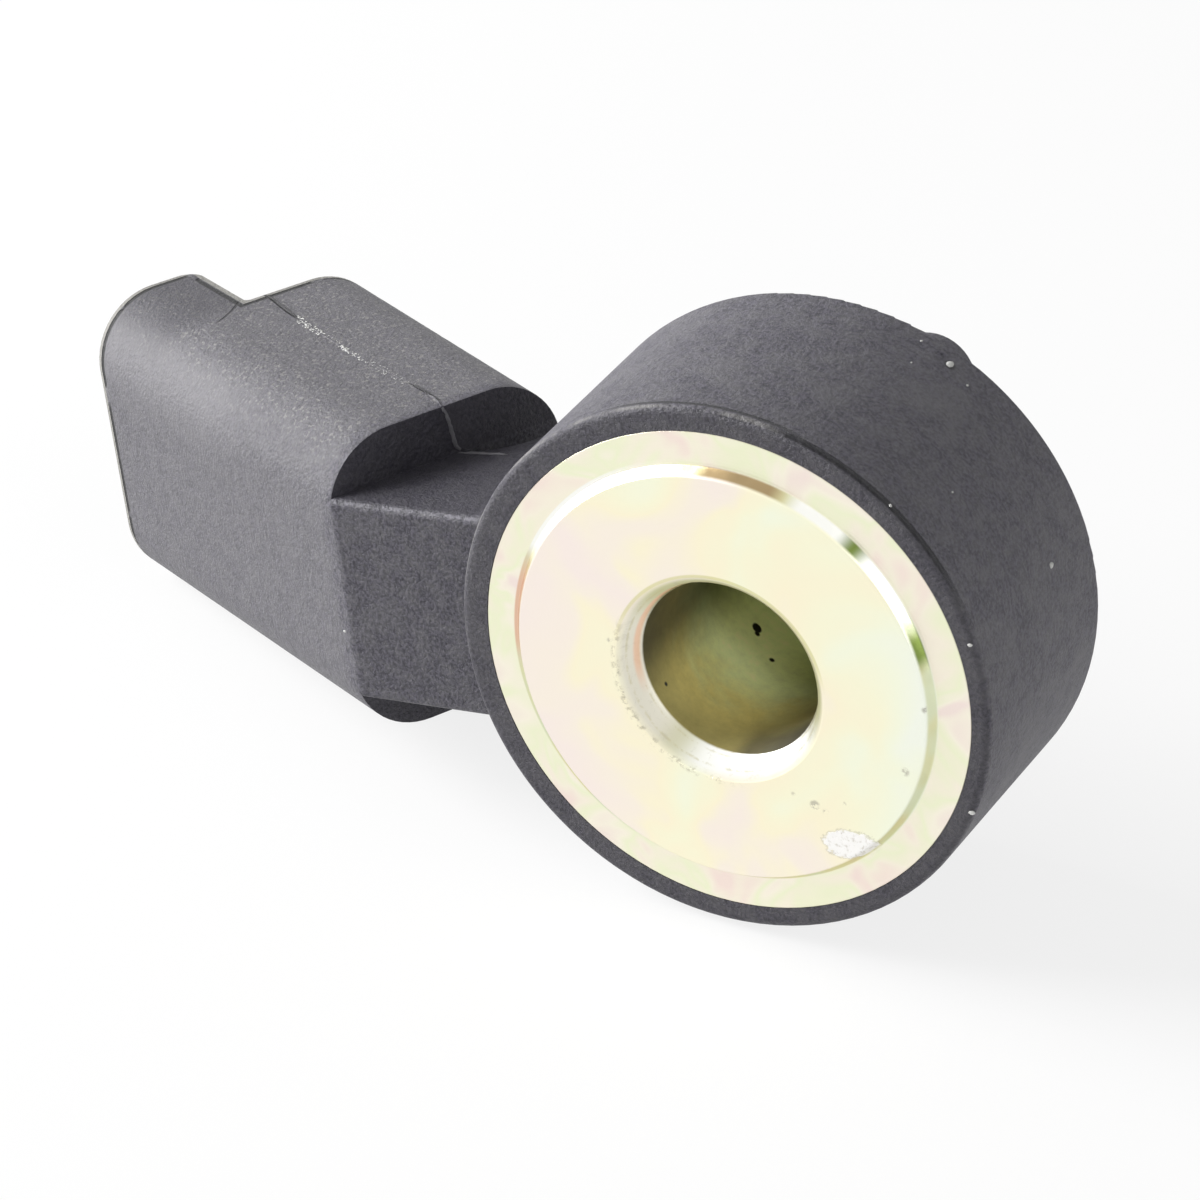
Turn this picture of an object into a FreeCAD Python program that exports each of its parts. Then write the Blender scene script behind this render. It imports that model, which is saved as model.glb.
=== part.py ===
import FreeCAD, Part
import math
import os

# Engine knock sensor of the flat response kind: a ring bolted to the engine block, with a plug socket
# on an angled arm. Millimetres. The bore axis is Y, the seat face is at y = 0 and the rest of the
# sensor is behind it, towards +Y. The arm points to -X, and Z is up with the sensor lying on the side
# of its ring and the lower edge of its socket.

# Sleeve: turned steel, with the flange that bears on the engine block
bolt_diameter = 8.0
bolt_clearance = 0.4
seat_radius = 9.63
seat_height = 0.53
seat_slope_run = 0.32
flange_radius = 11.5
flange_thickness = 2.1
flange_groove_width = 0.6
flange_groove_depth = 0.6
entry_radius = 4.94
entry_knee_radius = 4.52
entry_knee_depth = 0.42
entry_depth = 1.25
sleeve_wall = 1.8
sleeve_end_proud = 0.32
sleeve_end_chamfer = 0.4

# Stack on the sleeve, from the flange to the nut
bush_wall = 0.4
bush_clearance = 0.05
bush_reach_into_mass = 1.2
washer_clearance = 0.1
insulating_disc_thickness = 0.35
insulating_disc_radius = 10.2
contact_thickness = 0.25
piezo_thickness = 1.9
piezo_radius = 10.0
mass_thickness = 2.7
mass_radius = 10.3
spring_thickness = 0.5
spring_cone_height = 0.25
spring_radius = 9.3
spring_clearance = 0.3
nut_thickness = 2.2
nut_radius = 9.0
nut_slot_width = 1.6
nut_slot_depth = 1.1
nut_slot_count = 4

# Housing ring
ring_rim_width = 1.05
ring_draft_deg = 1.43
ring_offset = 0.24
ring_front_edge_radius = 0.35
ring_back_edge_radius = 0.25
back_cover = 1.0
rim_pad_radius = 2.0
rim_pad_height = 0.5
rim_pad_edge_radius = 0.2
rim_pad_angle_deg = 121.0

# Neck between the ring and the socket
neck_reach = 20.27
neck_depth = 6.02
neck_front_cover = 0.5
neck_side_cover = 1.66
neck_edge_radius = 0.35
neck_corner_radius = 0.8
neck_sweep_radius = 5.0
neck_sweep_start_deg = 15.0
neck_sweep_end_deg = 65.0

# Socket shell, on an axis that leans back from the ring
shell_angle_deg = 30.0
shell_half_width = 6.15
shell_half_height = 7.5
shell_corner_radius = 3.5
shell_far_draft_deg = 2.3
shell_height_draft_deg = 0.5
shell_length = 23.62
shell_wall = 1.3
lip_length = 5.52
lip_edge_offset = -0.25
lip_inner_corner_radius = 0.3
lip_outer_corner_radius = 1.0
socket_floor = 6.1
latch_width = 4.6
latch_height = 1.3
latch_ramp = 3.4
latch_flat = 0.7
latch_back = 0.4
latch_setback = 4.0

# Blades, their carrier and the resistor across them
blade_pitch = 6.0
blade_thickness = 0.8
blade_width = 2.8
blade_tip_setback = 3.4
blade_tip_length = 0.9
blade_tip_narrowing = 0.5
blade_bend_past_resistor = 1.05
blade_tail_width = 1.5
carrier_margin = 1.2
carrier_length = 5.3
tab_gap = 1.3
tab_weld_length = 2.4
tab_ear_height = 1.6
tab_width = 1.8
resistor_clearance = 0.85
resistor_offset = -0.6
resistor_radius = 0.8
resistor_length = 2.6
resistor_cap_wall = 0.1
resistor_cap_length = 0.45
resistor_lead_radius = 0.25

# Levels along the bore axis, from the seat face
bore_radius = (bolt_diameter + bolt_clearance) / 2
tube_radius = bore_radius + sleeve_wall
band_level = seat_height
flange_back = band_level + flange_thickness
lower_disc_level = flange_back
lower_contact_level = lower_disc_level + insulating_disc_thickness
piezo_level = lower_contact_level + contact_thickness
upper_contact_level = piezo_level + piezo_thickness
upper_disc_level = upper_contact_level + contact_thickness
mass_level = upper_disc_level + insulating_disc_thickness
spring_level = mass_level + mass_thickness
nut_level = spring_level + spring_thickness + spring_cone_height
nut_back = nut_level + nut_thickness
ring_back = nut_back + back_cover
sleeve_end = ring_back + sleeve_end_proud

# Radii of the stack and of the ring
bush_inner_radius = tube_radius + bush_clearance
bush_radius = bush_inner_radius + bush_wall
washer_bore_radius = bush_radius + washer_clearance
spring_bore_radius = tube_radius + spring_clearance
ring_front_radius = flange_radius + ring_rim_width
ring_slope = math.tan(math.radians(ring_draft_deg))
ring_back_radius = ring_front_radius + (ring_back - band_level) * ring_slope

# The socket's axis: it starts at the middle of the shell's end wall, and s runs out along it, t across
lean_cos = math.cos(math.radians(shell_angle_deg))
lean_sin = math.sin(math.radians(shell_angle_deg))
neck_front = lower_contact_level - neck_front_cover
neck_back = neck_front + neck_depth
neck_half_height = blade_pitch / 2 + blade_thickness / 2 + neck_side_cover
corner_tangent = neck_corner_radius * math.tan(math.radians(shell_angle_deg) / 2)
root_out = neck_reach - shell_half_width * lean_sin
root_back = neck_front + corner_tangent * lean_sin + shell_half_width * lean_cos
mouth = shell_length - lip_length
blade_tip = mouth - blade_tip_setback
carrier_start = socket_floor - carrier_length
resistor_cap_radius = resistor_radius + resistor_cap_wall
resistor_station = carrier_start - resistor_clearance - resistor_cap_radius
blade_bend = resistor_station - blade_bend_past_resistor
far_slope = math.tan(math.radians(shell_far_draft_deg))
height_slope = math.tan(math.radians(shell_height_draft_deg))

# At rest the ring's back edge and the lip's lowest corner touch one plane: the arm is rolled down by this
corner_out = root_out + shell_length * lean_cos + (shell_half_width - shell_corner_radius) * lean_sin
corner_low = shell_half_height + shell_length * height_slope
corner_distance = math.hypot(corner_out, corner_low)
rest_roll_deg = math.degrees(math.asin(ring_back_radius / corner_distance) - math.atan2(corner_low, corner_out))

oversize = 2.0
nothing = 0.0


def place(out, back, up=0.0):
    """A point by its distance out along the arm, back from the seat face, and up."""
    return FreeCAD.Vector(-out, back, up)


def on_axis(s, t, up=0.0):
    """A point of the socket by its distance along the socket's axis and across it."""
    out = root_out + s * lean_cos - t * lean_sin
    back = root_back + s * lean_sin + t * lean_cos
    return place(out, back, up)


def closed_face(points):
    return Part.Face(Part.makePolygon(points + [points[0]]))


def turned(profile):
    """A solid of revolution about the bore axis, from (radius, level) points."""
    face = closed_face([FreeCAD.Vector(radius, level, 0) for radius, level in profile])
    return face.revolve(FreeCAD.Vector(0, 0, 0), FreeCAD.Vector(0, 1, 0), 360)


def washer(inner, outer, level, thickness):
    return turned([(inner, level), (outer, level), (outer, level + thickness), (inner, level + thickness)])


def upright_plate(points, low, high):
    """A flat plate whose faces are level, from its outline and its lowest and highest z."""
    base = [FreeCAD.Vector(p.x, p.y, low) for p in points]
    return closed_face(base).extrude(FreeCAD.Vector(0, 0, high - low))


def edges_along(shape, direction):
    """The straight edges of a shape that run nearly along a direction."""
    found = []
    for edge in shape.Edges:
        span = edge.Vertexes[-1].Point.sub(edge.Vertexes[0].Point)
        if span.Length > 0 and abs(span.dot(direction)) > 0.95 * span.Length:
            found.append(edge)
    return found


socket_direction = on_axis(1, 0).sub(on_axis(0, 0))


def tapered_shell(start, end, inset, corner_radius):
    """The socket's outer form, or its cavity when inset by the wall, between two stations."""
    sections = []
    for s in (start, end):
        near = -shell_half_width + inset
        far = shell_half_width + s * far_slope - inset
        high = shell_half_height + s * height_slope - inset
        corners = [on_axis(s, near, -high), on_axis(s, far, -high), on_axis(s, far, high), on_axis(s, near, high)]
        sections.append(Part.makePolygon(corners + [corners[0]]))
    block = Part.makeLoft(sections, True, True)
    return block.makeFillet(corner_radius, edges_along(block, socket_direction))


# Mounting sleeve
def make_sleeve():
    groove_front = band_level + (flange_thickness - flange_groove_width) / 2
    groove_back = groove_front + flange_groove_width
    groove_radius = flange_radius - flange_groove_depth
    profile = [
        (bore_radius, entry_depth),
        (entry_knee_radius, entry_knee_depth),
        (entry_radius, nothing),
        (seat_radius, nothing),
        (seat_radius + seat_slope_run, band_level),
        (flange_radius, band_level),
        (flange_radius, groove_front),
        (groove_radius, groove_front),
        (groove_radius, groove_back),
        (flange_radius, groove_back),
        (flange_radius, flange_back),
        (tube_radius, flange_back),
        (tube_radius, sleeve_end - sleeve_end_chamfer),
        (tube_radius - sleeve_end_chamfer, sleeve_end),
        (bore_radius + sleeve_end_chamfer, sleeve_end),
        (bore_radius, sleeve_end - sleeve_end_chamfer),
    ]
    return turned(profile)


# The stack of washers between the flange and the nut
def make_contact_ring(level, side):
    """A brass ring with a tab towards the arm; the tab's edge is folded up as an ear against a blade."""
    ring = washer(washer_bore_radius, piezo_radius, level, contact_thickness)
    tab_outer = side * (blade_pitch - blade_thickness) / 2
    tab_inner = tab_outer - side * tab_width
    tab_start = (washer_bore_radius + piezo_radius) / 2
    ear_start = mass_radius + tab_gap
    tab_end = ear_start + tab_weld_length
    low, high = sorted((tab_outer, tab_inner))
    top = level + contact_thickness
    outline = [place(tab_start, level), place(tab_end, level), place(tab_end, top), place(tab_start, top)]
    tab = upright_plate(outline, low, high)
    ear_low, ear_high = sorted((tab_outer, tab_outer - side * contact_thickness))
    ear_top = level + tab_ear_height
    outline = [place(ear_start, level), place(tab_end, level), place(tab_end, ear_top), place(ear_start, ear_top)]
    ear = upright_plate(outline, ear_low, ear_high)
    return ring.fuse([tab, ear]).removeSplitter()


def make_disc_spring():
    rise = spring_cone_height
    base = spring_level
    profile = [
        (spring_bore_radius, base + rise),
        (spring_radius, base),
        (spring_radius, base + spring_thickness),
        (spring_bore_radius, base + rise + spring_thickness),
    ]
    return turned(profile)


def make_ring_nut():
    nut = washer(tube_radius, nut_radius, nut_level, nut_thickness)
    slot = Part.makeBox(
        nut_slot_depth + oversize,
        nut_thickness + 2 * oversize,
        nut_slot_width,
        FreeCAD.Vector(nut_radius - nut_slot_depth, nut_level - oversize, -nut_slot_width / 2),
    )
    slots = []
    for number in range(nut_slot_count):
        turn = slot.copy()
        turn.rotate(FreeCAD.Vector(0, 0, 0), FreeCAD.Vector(0, 1, 0), (number + 0.5) * 360 / nut_slot_count)
        slots.append(turn)
    return nut.cut(slots)


# Blades: stamped flat, from the ear of a contact ring to the socket, with a narrower tail in the neck
def make_terminal(contact_level, side):
    half = blade_width / 2
    foot_start = mass_radius + tab_gap
    foot_end = foot_start + tab_weld_length
    foot_top = contact_level + tab_ear_height
    outline = [
        place(foot_start, contact_level),
        place(foot_end, contact_level),
        on_axis(blade_bend, -half),
        on_axis(blade_tip - blade_tip_length, -half),
        on_axis(blade_tip, -half + blade_tip_narrowing),
        on_axis(blade_tip, half - blade_tip_narrowing),
        on_axis(blade_tip - blade_tip_length, half),
        on_axis(carrier_start, half),
        on_axis(carrier_start, blade_tail_width - half),
        on_axis(blade_bend, blade_tail_width - half),
        place(foot_end - tab_ear_height / 2, foot_top),
        place(foot_start, foot_top),
    ]
    middle = side * blade_pitch / 2
    return upright_plate(outline, middle - blade_thickness / 2, middle + blade_thickness / 2)


def make_terminal_carrier(terminals):
    half_width = shell_half_width - shell_wall - carrier_margin
    half_height = shell_half_height - shell_wall - carrier_margin
    outline = [
        on_axis(carrier_start, -half_width),
        on_axis(socket_floor, -half_width),
        on_axis(socket_floor, half_width),
        on_axis(carrier_start, half_width),
    ]
    return upright_plate(outline, -half_height, half_height).cut(terminals)


# Resistor across the blades
def make_resistor():
    centre = on_axis(resistor_station, resistor_offset)
    up = FreeCAD.Vector(0, 0, 1)
    half = resistor_length / 2
    blade_face = (blade_pitch - blade_thickness) / 2
    body = Part.makeCylinder(resistor_radius, resistor_length, centre - up * half, up)
    caps = []
    leads = []
    for side in (1, -1):
        way = up * side
        cap_start = centre + way * (half - resistor_cap_length)
        cap_end = centre + way * (half + resistor_cap_wall)
        cap = Part.makeCylinder(resistor_cap_radius, resistor_cap_length + resistor_cap_wall, cap_start, way)
        caps.append(cap.cut(body))
        lead_length = blade_face - half - resistor_cap_wall
        leads.append(Part.makeCylinder(resistor_lead_radius, lead_length, cap_end, way))
    return body, Part.makeCompound(caps), Part.makeCompound(leads)


# Housing: one moulding round everything above
def make_ring():
    front, back = band_level, ring_back
    front_arc = ring_front_edge_radius
    back_arc = ring_back_edge_radius
    outline = [
        FreeCAD.Vector(0, front, 0),
        FreeCAD.Vector(ring_front_radius, front, 0),
        FreeCAD.Vector(ring_back_radius, back, 0),
        FreeCAD.Vector(0, back, 0),
    ]
    cone = closed_face(outline).revolve(FreeCAD.Vector(0, 0, 0), FreeCAD.Vector(0, 1, 0), 360)
    front_edge = [e for e in cone.Edges if e.Closed and abs(e.BoundBox.YMax - front) < 1e-6]
    back_edge = [e for e in cone.Edges if e.Closed and abs(e.BoundBox.YMin - back) < 1e-6]
    cone = cone.makeFillet(front_arc, front_edge)
    back_edge = [e for e in cone.Edges if e.Closed and abs(e.BoundBox.YMin - back) < 1e-6]
    cone = cone.makeFillet(back_arc, back_edge)
    return cone.translated(place(ring_offset, 0))


def make_rim_pad():
    """The small round pad left on the ring's back rim."""
    spread = ring_back_radius - rim_pad_radius
    angle = math.radians(rim_pad_angle_deg)
    out = ring_offset + spread * math.cos(angle)
    up = spread * math.sin(angle)
    depth = rim_pad_height + back_cover
    foot = place(out, ring_back - back_cover, up)
    pad = Part.makeCylinder(rim_pad_radius, depth, foot, FreeCAD.Vector(0, 1, 0))
    top_edge = [e for e in pad.Edges if e.Closed and e.BoundBox.YMin > ring_back]
    return pad.makeFillet(rim_pad_edge_radius, top_edge)


def make_neck():
    """The flat arm: its front face turns into the socket's side face over a soft vertical corner."""
    start = ring_front_radius / 2
    corner = on_axis(0, -shell_half_width)
    front_end = FreeCAD.Vector(corner.x + corner_tangent * (1 + lean_cos), neck_front, 0)
    middle = FreeCAD.Vector(corner.x + corner_tangent * lean_cos, neck_front, 0)
    bend = Part.Arc(front_end, arc_middle(front_end, middle, corner), corner).toShape()
    wall_end_t = (neck_back - root_back) / lean_cos
    wall_end = on_axis(0, wall_end_t)
    sweep_middle = swept_back(wall_end, (neck_sweep_start_deg + neck_sweep_end_deg) / 2)
    sweep_end = swept_back(wall_end, neck_sweep_end_deg)
    sweep = Part.Arc(wall_end, sweep_middle, sweep_end).toShape()
    back_start = FreeCAD.Vector(-start, sweep_end.y, 0)
    front_start = place(start, neck_front)
    sides = [
        Part.makeLine(front_start, front_end),
        bend,
        Part.makeLine(corner, wall_end),
        sweep,
        Part.makeLine(sweep_end, back_start),
        Part.makeLine(back_start, front_start),
    ]
    face = Part.Face(Part.Wire(sides))
    face.translate(FreeCAD.Vector(0, 0, -neck_half_height))
    neck = face.extrude(FreeCAD.Vector(0, 0, 2 * neck_half_height))
    front_edges = []
    for edge in neck.Edges:
        level = abs(abs(edge.BoundBox.ZMax) - neck_half_height) < 1e-6 and edge.BoundBox.ZLength < 1e-6
        if level and edge.BoundBox.YMax < corner.y + 1e-6:
            front_edges.append(edge)
    return neck.makeFillet(neck_edge_radius, front_edges)


def swept_back(wall_end, turn_deg):
    """A point of the hollow sweep by which the neck's back face rises to the ring."""
    start = math.radians(neck_sweep_start_deg)
    turn = math.radians(turn_deg)
    along = neck_sweep_radius * (math.sin(turn) - math.sin(start))
    rise = neck_sweep_radius * (math.cos(start) - math.cos(turn))
    return FreeCAD.Vector(wall_end.x + along, wall_end.y + rise, 0)


def arc_middle(start, corner, end):
    """The middle of the arc that is tangent to start-corner at start and to corner-end at end."""
    chord_middle = (start + end) * 0.5
    half_turn = math.radians(shell_angle_deg) / 2
    bulge = neck_corner_radius * (1 - math.cos(half_turn))
    way = corner.sub(chord_middle)
    way.normalize()
    return chord_middle + way * bulge


def make_lip_cut():
    """What is cut from the shell's far half, so that the near half stands out as a lip."""
    edge = lip_edge_offset
    inner = lip_inner_corner_radius
    outer = lip_outer_corner_radius
    wide = shell_half_width + shell_length * far_slope + latch_height + oversize
    end = shell_length + oversize
    diagonal = math.sqrt(0.5)
    inner_middle = on_axis(mouth + inner * (1 - diagonal), edge + inner * (1 - diagonal))
    outer_middle = on_axis(shell_length - outer * (1 - diagonal), edge - outer * (1 - diagonal))
    sides = [
        Part.makeLine(on_axis(mouth, wide), on_axis(mouth, edge + inner)),
        Part.Arc(on_axis(mouth, edge + inner), inner_middle, on_axis(mouth + inner, edge)).toShape(),
        Part.makeLine(on_axis(mouth + inner, edge), on_axis(shell_length - outer, edge)),
        Part.Arc(on_axis(shell_length - outer, edge), outer_middle, on_axis(shell_length, edge - outer)).toShape(),
        Part.makeLine(on_axis(shell_length, edge - outer), on_axis(end, edge - outer)),
        Part.makeLine(on_axis(end, edge - outer), on_axis(end, wide)),
        Part.makeLine(on_axis(end, wide), on_axis(mouth, wide)),
    ]
    face = Part.Face(Part.Wire(sides))
    reach = shell_half_height + shell_length * height_slope + oversize
    face.translate(FreeCAD.Vector(0, 0, -reach))
    return face.extrude(FreeCAD.Vector(0, 0, 2 * reach))


def make_latch():
    """The ramp on the hidden far side that the plug's latch snaps over."""
    front = mouth - latch_setback
    top_front = front - latch_ramp
    top_back = top_front - latch_flat
    back = top_back - latch_back
    outline = []
    for s, height in ((front, 0), (top_front, latch_height), (top_back, latch_height), (back, 0)):
        outline.append(on_axis(s, shell_half_width + s * far_slope + height))
    outline.append(on_axis(back, shell_half_width - shell_wall / 2))
    outline.append(on_axis(front, shell_half_width - shell_wall / 2))
    return upright_plate(outline, -latch_width / 2, latch_width / 2)


def make_housing(sleeve, inner_pieces):
    shell = tapered_shell(nothing, shell_length, nothing, shell_corner_radius)
    cavity = tapered_shell(socket_floor, shell_length + oversize, shell_wall, shell_corner_radius - shell_wall)
    outside = make_ring().fuse([make_neck(), shell, make_latch(), make_rim_pad()]).removeSplitter()
    running_gap = washer(tube_radius, washer_bore_radius, flange_back, nut_level - flange_back)
    spring_space = washer(tube_radius, spring_radius, spring_level, nut_level - spring_level)
    sleeve_core = washer(nothing, tube_radius, nothing, sleeve_end + oversize)
    housing = outside.cut([cavity, make_lip_cut(), sleeve_core, sleeve, running_gap, spring_space] + inner_pieces)
    return housing


sleeve = make_sleeve()
lower_contact = make_contact_ring(lower_contact_level, -1)
upper_contact = make_contact_ring(upper_contact_level, 1)
lower_terminal = make_terminal(lower_contact_level, -1)
upper_terminal = make_terminal(upper_contact_level, 1)
carrier = make_terminal_carrier([lower_terminal, upper_terminal])
resistor_body, resistor_caps, resistor_leads = make_resistor()
disc_thickness = insulating_disc_thickness
bush_length = mass_level + bush_reach_into_mass - flange_back

pieces = {
    "mounting_sleeve": sleeve,
    "insulating_tube": washer(bush_inner_radius, bush_radius, flange_back, bush_length),
    "lower_insulating_disc": washer(washer_bore_radius, insulating_disc_radius, lower_disc_level, disc_thickness),
    "lower_contact_ring": lower_contact,
    "piezo_ring": washer(washer_bore_radius, piezo_radius, piezo_level, piezo_thickness),
    "upper_contact_ring": upper_contact,
    "upper_insulating_disc": washer(washer_bore_radius, insulating_disc_radius, upper_disc_level, disc_thickness),
    "seismic_mass": washer(washer_bore_radius, mass_radius, mass_level, mass_thickness),
    "disc_spring": make_disc_spring(),
    "ring_nut": make_ring_nut(),
    "lower_terminal": lower_terminal,
    "upper_terminal": upper_terminal,
    "terminal_carrier": carrier,
    "resistor_body": resistor_body,
    "resistor_end_caps": resistor_caps,
    "resistor_leads": resistor_leads,
}
held_in_moulding = [shape for name, shape in pieces.items() if name != "mounting_sleeve"]
pieces["housing"] = make_housing(sleeve, held_in_moulding)

os.makedirs("parts", exist_ok=True)
for name, shape in pieces.items():
    laid = shape.copy()
    laid.rotate(FreeCAD.Vector(0, 0, 0), FreeCAD.Vector(0, 1, 0), -rest_roll_deg)
    laid.exportStep("parts/" + name + ".step")
    print(name, "solids", len(laid.Solids), "volume", round(laid.Volume, 2), "valid", laid.isValid())
print("rest roll", round(rest_roll_deg, 3), "ring back radius", round(ring_back_radius, 3))
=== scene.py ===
import bmesh
import bpy
import math
import random
from mathutils import Matrix, Vector


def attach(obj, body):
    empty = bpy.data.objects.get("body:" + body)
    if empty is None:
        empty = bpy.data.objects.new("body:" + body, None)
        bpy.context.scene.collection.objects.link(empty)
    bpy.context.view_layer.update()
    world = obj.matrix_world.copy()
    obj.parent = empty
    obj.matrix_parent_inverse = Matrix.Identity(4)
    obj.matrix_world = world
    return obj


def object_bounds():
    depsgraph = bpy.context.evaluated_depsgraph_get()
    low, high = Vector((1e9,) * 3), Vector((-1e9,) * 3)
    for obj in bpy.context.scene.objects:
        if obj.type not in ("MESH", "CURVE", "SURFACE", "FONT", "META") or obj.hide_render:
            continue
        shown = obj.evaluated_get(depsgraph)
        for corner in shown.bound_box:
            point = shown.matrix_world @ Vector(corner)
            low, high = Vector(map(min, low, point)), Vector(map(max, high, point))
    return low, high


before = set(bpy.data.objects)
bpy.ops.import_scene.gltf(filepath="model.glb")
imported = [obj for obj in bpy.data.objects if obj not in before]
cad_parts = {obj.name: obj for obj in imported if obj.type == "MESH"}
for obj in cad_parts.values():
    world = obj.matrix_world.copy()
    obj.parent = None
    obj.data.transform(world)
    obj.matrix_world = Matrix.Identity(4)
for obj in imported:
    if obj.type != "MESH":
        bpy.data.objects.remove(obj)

cad_low, cad_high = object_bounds()
scene = bpy.context.scene
scene.view_settings.view_transform = "Standard"


# The viewpoint. The sensor lies on a white sheet with its seat face turned to the camera, which stands
# about 17 cm off, to the right and above, with a long lens.
camera_data = bpy.data.cameras.new("studio_camera")
camera = bpy.data.objects.new("studio_camera", camera_data)
scene.collection.objects.link(camera)
scene.camera = camera
camera_data.sensor_width = 36.0
camera_data.lens = 122.115
camera_data.clip_start = 0.01
camera_data.clip_end = 10.0
camera_right = Vector((0.889101, 0.457679, 0.005447))
camera_down = Vector((0.233593, -0.443487, -0.865305))
camera_forward = Vector((-0.393616, 0.770616, -0.501215))
camera_turn = Matrix((camera_right, -camera_down, -camera_forward)).transposed()
camera.matrix_world = Matrix.Translation((0.063203, -0.134840, 0.090183)) @ camera_turn.to_4x4()


# The housing. One moulding of black glass-filled nylon, shot round the sleeve and the sensing stack.
# Its faces carry the fine spark-eroded grain of the mould, greyed where it has been handled.
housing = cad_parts["housing"]
housing_edge_radius = 0.00011


def soften_edges(piece, radius, sharp_from_deg=28.0):
    """Rounds a moulded or turned piece's sharp edges a little, as the real ones are."""
    weld = piece.modifiers.new("joined_facets", "WELD")
    weld.merge_threshold = 0.000001
    flat = piece.modifiers.new("plain_faces", "DECIMATE")
    flat.decimate_type = "DISSOLVE"
    flat.angle_limit = math.radians(0.8)
    edge = piece.modifiers.new("soft_edges", "BEVEL")
    edge.width = radius
    edge.segments = 2
    edge.limit_method = "ANGLE"
    edge.angle_limit = math.radians(sharp_from_deg)
    edge.use_clamp_overlap = True
    edge.harden_normals = True
    shade = piece.modifiers.new("even_shading", "WEIGHTED_NORMAL")
    shade.keep_sharp = True
    shade.weight = 100


def add_node(tree, kind, values=None, **settings):
    """One shader node; each of its inputs is a plain value or another node's output."""
    node = tree.nodes.new(kind)
    for key, value in settings.items():
        setattr(node, key, value)
    for key, value in (values or {}).items():
        if isinstance(value, bpy.types.NodeSocket):
            tree.links.new(value, node.inputs[key])
        else:
            node.inputs[key].default_value = value
    return node


def calc(tree, operation, first, second=0.0, third=0.0):
    values = {0: first, 1: second, 2: third}
    return add_node(tree, "ShaderNodeMath", values, operation=operation).outputs[0]


def times(tree, first, *others):
    """The product of two or more values."""
    for other in others:
        first = calc(tree, "MULTIPLY", first, other)
    return first


def plus(tree, first, second):
    return calc(tree, "ADD", first, second)


def minus(tree, first, second):
    return calc(tree, "SUBTRACT", first, second)


def most(tree, first, *others):
    """The largest of two or more values."""
    for other in others:
        first = calc(tree, "MAXIMUM", first, other)
    return first


def dot(tree, first, second):
    values = {0: first, 1: second}
    return add_node(tree, "ShaderNodeVectorMath", values, operation="DOT_PRODUCT").outputs["Value"]


def away(tree, first, second):
    """How far apart two places are."""
    values = {0: first, 1: second}
    return add_node(tree, "ShaderNodeVectorMath", values, operation="DISTANCE").outputs["Value"]


def scaled(tree, vector, factor):
    return add_node(tree, "ShaderNodeVectorMath", {0: vector, 3: factor}, operation="SCALE").outputs[0]


def limit(tree, value, low, high):
    """0 at low and 1 at high, with a soft step between."""
    values = {"Value": value, "From Min": low, "From Max": high}
    return add_node(tree, "ShaderNodeMapRange", values, interpolation_type="SMOOTHSTEP").outputs[0]


def between(tree, value, low, high, soft):
    """1 where a value lies between two limits."""
    rise = limit(tree, value, low - soft, low + soft)
    fall = limit(tree, value, high + soft, high - soft)
    return times(tree, rise, fall)


def grain(tree, place, scale, detail=2.0, rough=0.55, bend=0.0):
    values = {"Vector": place, "Scale": scale, "Detail": detail, "Roughness": rough, "Distortion": bend}
    return add_node(tree, "ShaderNodeTexNoise", values).outputs["Fac"]


def tint(tree, amount, first, second):
    """The first colour turned into the second by an amount from 0 to 1."""
    node = tree.nodes.new("ShaderNodeMix")
    node.data_type = "RGBA"
    for name, value in (("Factor", amount), ("A", first), ("B", second)):
        sockets = [s for s in node.inputs if s.name == name and s.enabled]
        if isinstance(value, bpy.types.NodeSocket):
            tree.links.new(value, sockets[0])
        else:
            sockets[0].default_value = value
    return [s for s in node.outputs if s.enabled][0]


def start_finish(name):
    """A new material with its shader, and the surface's place in millimetres."""
    finish = bpy.data.materials.new(name)
    finish.use_nodes = True
    tree = finish.node_tree
    shader = tree.nodes["Principled BSDF"]
    where = add_node(tree, "ShaderNodeTexCoord").outputs["Object"]
    return finish, tree, shader, scaled(tree, where, 1000.0)


def along(tree, place, origin, direction):
    """How far a place lies from an origin along a direction."""
    offset = add_node(tree, "ShaderNodeVectorMath", {0: place, 1: origin}, operation="SUBTRACT").outputs[0]
    return dot(tree, offset, direction)


def paint(tree, shader, pattern, low, high, rough_span, rough_base):
    """Lets one pattern lead both the colour and the roughness."""
    tree.links.new(tint(tree, pattern, low, high), shader.inputs["Base Color"])
    tree.links.new(plus(tree, times(tree, pattern, rough_span), rough_base), shader.inputs["Roughness"])


def wear(piece, finish):
    """Gives a piece one finish all over."""
    piece.data.materials.clear()
    piece.data.materials.append(finish)


socket_root = Vector((-17.0408, 7.9132, -2.2980))
socket_axis = Vector((-0.858257, 0.5, -0.115738))
socket_across = Vector((0.495515, 0.866025, 0.066822))
socket_up = Vector((-0.133643, 0.0, 0.991030))
socket_mouth = 18.1
socket_lip_end = 23.62
socket_step = -0.25
ring_centre = (-0.238, 0.0, -0.032)
largest_speck = (5.44, 11.10, 11.46)

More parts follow.
